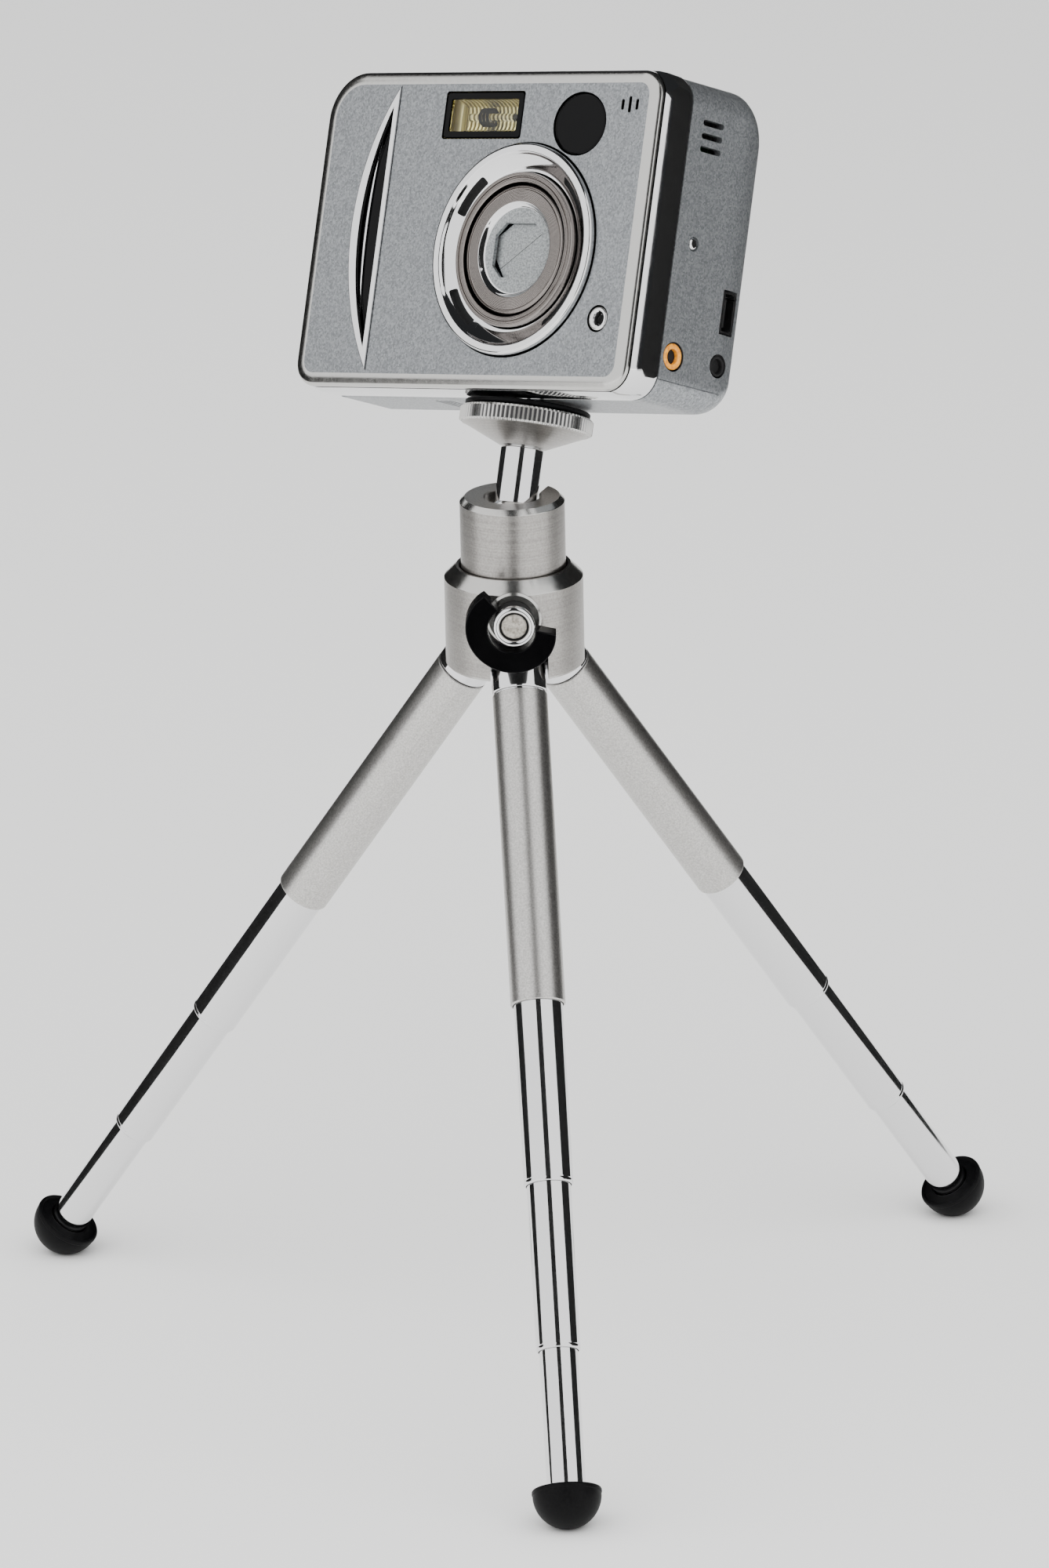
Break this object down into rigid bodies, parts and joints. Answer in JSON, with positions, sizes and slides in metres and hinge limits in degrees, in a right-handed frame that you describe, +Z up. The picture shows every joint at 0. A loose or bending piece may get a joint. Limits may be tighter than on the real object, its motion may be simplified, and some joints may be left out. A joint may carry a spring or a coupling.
{
  "type": "compact camera on mini tripod",
  "caption": "Compact zoom camera on a ball-head mini tripod with folding telescopic legs, rubber feet, clamp knob, lens cover and battery door.",
  "frame": {"origin": "on the floor, at the centre of the overall box", "axes": "+Z up, the front leg points to -Y, +X to its right seen from the front"},
  "size_m": [0.1818, 0.1736, 0.2409],
  "materials": {
    "turned_aluminium": "satin, turned",
    "satin_silver": "satin",
    "chrome": "mirror",
    "steel": "satin",
    "lens_metal": "satin",
    "silver_paint": "fine metallic paint",
    "black_plastic": "gloss",
    "rubber": "matt",
    "window": "clear",
    "reflector": "metallised",
    "jack_orange": "gloss",
    "board": "matt",
    "cell": "sleeved"
  },
  "bodies": {
    "head": {"collar": "turned_aluminium", "leg_hub": "steel", "clamp_washer": "steel", "leg_pin_front": "steel", "leg_pin_right": "steel", "leg_pin_left": "steel"},
    "clamp": {"clamp_screw": "chrome", "clamp_wing": "black_plastic"},
    "cap": {"ball_cap": "turned_aluminium", "ball_seat": "steel"},
    "ball": {"ball_stem": "chrome"},
    "lock_disc": {"platform_disc": "turned_aluminium", "disc_pad": "rubber"},
    "camera": {"front_cover": "silver_paint", "trim_band": "chrome", "rear_cover": "silver_paint", "grip_trim": "chrome", "grip_insert": "black_plastic", "lens_ring": "chrome", "flash_reflector": "reflector", "flash_window": "window", "viewfinder_window": "black_plastic", "timer_lamp": "chrome", "lcd_window": "window", "main_board": "board", "image_sensor": "black_plastic", "tripod_bush": "steel", "usb_port": "steel", "av_jack": "jack_orange", "dc_jack": "black_plastic", "battery_left": "cell", "battery_right": "cell"},
    "barrel_outer": {"lens_barrel_outer": "lens_metal"},
    "barrel_inner": {"lens_barrel_inner": "lens_metal", "lens_glass": "window"},
    "blade_upper": {"lens_blade_upper": "satin_silver"},
    "blade_lower": {"lens_blade_lower": "satin_silver"},
    "shutter": {"shutter_button": "chrome"},
    "power": {"power_button": "chrome"},
    "rocker": {"zoom_rocker": "satin_silver"},
    "nav": {"nav_pad": "satin_silver"},
    "door": {"battery_door": "silver_paint"},
    "leg_front": {"leg_plug_front": "chrome", "leg_tube_front": "satin_silver"},
    "second_front": {"leg_second_front": "chrome"},
    "third_front": {"leg_third_front": "chrome"},
    "fourth_front": {"leg_fourth_front": "chrome", "foot_front": "rubber"},
    "leg_right": {"leg_plug_right": "chrome", "leg_tube_right": "satin_silver"},
    "second_right": {"leg_second_right": "chrome"},
    "third_right": {"leg_third_right": "chrome"},
    "fourth_right": {"leg_fourth_right": "chrome", "foot_right": "rubber"},
    "leg_left": {"leg_plug_left": "chrome", "leg_tube_left": "satin_silver"},
    "second_left": {"leg_second_left": "chrome"},
    "third_left": {"leg_third_left": "chrome"},
    "fourth_left": {"leg_fourth_left": "chrome", "foot_left": "rubber"}
  },
  "joints": [
    {"name": "clamp_turn", "type": "hinge", "parent": "head", "child": "clamp", "pos_m": [0, 0.01714, 0.14295], "axis": [-0.0698, -0.9976, 0], "range_deg": [0, 180]},
    {"name": "head_pan", "type": "hinge", "parent": "head", "child": "cap", "pos_m": [0, 0.01714, 0.15655], "axis": [0, 0, 1], "continuous": true},
    {"name": "ball_tilt", "type": "hinge", "parent": "cap", "child": "ball", "pos_m": [0, 0.01714, 0.15655], "axis": [0.9121, -0.4099, 0], "range_deg": [-64, 25]},
    {"name": "lock_disc_turn", "type": "hinge", "parent": "ball", "child": "lock_disc", "pos_m": [0, 0.01714, 0.15655], "axis": [0.1739, 0.3869, 0.9056], "continuous": true},
    {"name": "camera_swivel", "type": "hinge", "parent": "ball", "child": "camera", "pos_m": [0, 0.01714, 0.15655], "axis": [0.1739, 0.3869, 0.9056], "continuous": true},
    {"name": "leg_fold_front", "type": "hinge", "parent": "head", "child": "leg_front", "pos_m": [0, 0.00962, 0.13235], "axis": [1, 0, 0], "range_deg": [0, 35.5]},
    {"name": "slide_second_front", "type": "slide", "parent": "leg_front", "child": "second_front", "axis": [0, 0.5807, 0.8141], "range_m": [0, 0.032]},
    {"name": "slide_third_front", "type": "slide", "parent": "second_front", "child": "third_front", "axis": [0, 0.5807, 0.8141], "range_m": [0, 0.029]},
    {"name": "slide_fourth_front", "type": "slide", "parent": "third_front", "child": "fourth_front", "axis": [0, 0.5807, 0.8141], "range_m": [0, 0.0245]},
    {"name": "leg_fold_right", "type": "hinge", "parent": "head", "child": "leg_right", "pos_m": [0.00651, 0.0209, 0.13235], "axis": [-0.5, 0.866, 0], "range_deg": [0, 35.5]},
    {"name": "slide_second_right", "type": "slide", "parent": "leg_right", "child": "second_right", "axis": [-0.5029, -0.2904, 0.8141], "range_m": [0, 0.032]},
    {"name": "slide_third_right", "type": "slide", "parent": "second_right", "child": "third_right", "axis": [-0.5029, -0.2904, 0.8141], "range_m": [0, 0.029]},
    {"name": "slide_fourth_right", "type": "slide", "parent": "third_right", "child": "fourth_right", "axis": [-0.5029, -0.2904, 0.8141], "range_m": [0, 0.0245]},
    {"name": "leg_fold_left", "type": "hinge", "parent": "head", "child": "leg_left", "pos_m": [-0.00651, 0.0209, 0.13235], "axis": [-0.5, -0.866, 0], "range_deg": [0, 35.5]},
    {"name": "slide_second_left", "type": "slide", "parent": "leg_left", "child": "second_left", "axis": [0.5029, -0.2904, 0.8141], "range_m": [0, 0.032]},
    {"name": "slide_third_left", "type": "slide", "parent": "second_left", "child": "third_left", "axis": [0.5029, -0.2904, 0.8141], "range_m": [0, 0.029]},
    {"name": "slide_fourth_left", "type": "slide", "parent": "third_left", "child": "fourth_left", "axis": [0.5029, -0.2904, 0.8141], "range_m": [0, 0.0245]},
    {"name": "lens_extend", "type": "slide", "parent": "camera", "child": "barrel_outer", "axis": [-0.7101, -0.5878, 0.3875], "range_m": [0, 0.008]},
    {"name": "lens_inner_extend", "type": "slide", "parent": "barrel_outer", "child": "barrel_inner", "axis": [-0.7101, -0.5878, 0.3875], "range_m": [0, 0.006]},
    {"name": "blade_upper_open", "type": "slide", "parent": "barrel_inner", "child": "blade_upper", "axis": [-0.2489, 0.7244, 0.6428], "range_m": [0, 0.0046]},
    {"name": "blade_lower_open", "type": "slide", "parent": "barrel_inner", "child": "blade_lower", "axis": [0.2489, -0.7244, -0.6428], "range_m": [0, 0.0046]},
    {"name": "shutter_press", "type": "slide", "parent": "camera", "child": "shutter", "axis": [-0.1739, -0.3869, -0.9056], "range_m": [0, 0.0008], "stiffness_N_per_m": 800},
    {"name": "power_press", "type": "slide", "parent": "camera", "child": "power", "axis": [-0.1739, -0.3869, -0.9056], "range_m": [0, 0.0006], "stiffness_N_per_m": 800},
    {"name": "zoom_rock", "type": "hinge", "parent": "camera", "child": "rocker", "pos_m": [0.00063, 0.07458, 0.2051], "axis": [0.1739, 0.3869, 0.9056], "range_deg": [-5, 5], "stiffness_Nm_per_rad": 0.05},
    {"name": "nav_press", "type": "slide", "parent": "camera", "child": "nav", "axis": [-0.7101, -0.5878, 0.3875], "range_m": [0, 0.0006], "stiffness_N_per_m": 800},
    {"name": "battery_door_open", "type": "hinge", "parent": "camera", "child": "door", "pos_m": [-0.02648, 0.05761, 0.16941], "axis": [0.7101, 0.5878, -0.3875], "range_deg": [0, 85]}
  ],
  "couplings": [
    {"joint": "lens_inner_extend", "follows": "lens_extend", "ratio": 0.75},
    {"joint": "blade_upper_open", "follows": "lens_extend", "ratio": 0.575},
    {"joint": "blade_lower_open", "follows": "lens_extend", "ratio": 0.575}
  ]
}
